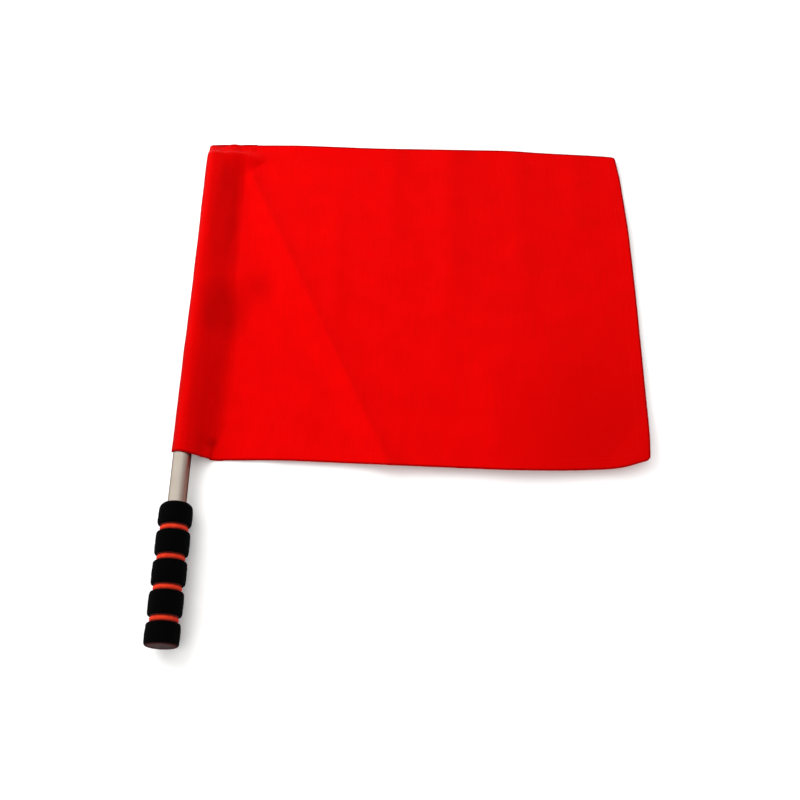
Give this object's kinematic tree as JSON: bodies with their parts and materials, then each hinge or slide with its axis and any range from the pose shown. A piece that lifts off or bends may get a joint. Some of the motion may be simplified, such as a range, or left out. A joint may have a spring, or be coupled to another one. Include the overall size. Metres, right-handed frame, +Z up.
{
  "type": "hand signal flag",
  "caption": "Hand-held signal flag: hemmed cloth whose sewn sleeve turns on a steel tube, with a grooved foam grip at the butt.",
  "frame": {"origin": "on the table that the flag lies on, below the middle of its whole outline", "axes": "+Y along the pole from its butt to the top of the flag, +X from the pole to the fly edge, +Z up"},
  "size_m": [0.379, 0.4562, 0.0264],
  "materials": {
    "steel_tube": "drawn, bright",
    "plug_plastic": "moulded, matt",
    "orange_foam": "closed-cell foam, matt",
    "black_foam": "closed-cell foam, matt",
    "red_cloth": "plain weave, slight sheen",
    "red_thread": "twisted polyester"
  },
  "bodies": {
    "pole": {"pole_tube": "steel_tube", "top_plug": "plug_plastic", "butt_plug": "plug_plastic", "grip_core": "orange_foam", "grip_collar_1": "black_foam", "grip_collar_2": "black_foam", "grip_collar_3": "black_foam", "grip_collar_4": "black_foam", "grip_collar_5": "black_foam"},
    "sleeve": {"flag_sleeve": "red_cloth", "sleeve_seam_thread": "red_thread", "top_closure_thread": "red_thread"},
    "fly": {"flag_panel": "red_cloth", "panel_hem_thread": "red_thread"}
  },
  "joints": [
    {"name": "sleeve_turn", "type": "hinge", "parent": "pole", "child": "sleeve", "pos_m": [-0.17701, 0.07168, 0.00974], "axis": [0, -0.9999, 0.0139], "continuous": true},
    {"name": "fly_fold", "type": "hinge", "parent": "sleeve", "child": "fly", "pos_m": [-0.13961, 0.07168, 0.00125], "axis": [0, -1, 0], "range_deg": [0, 140]}
  ]
}
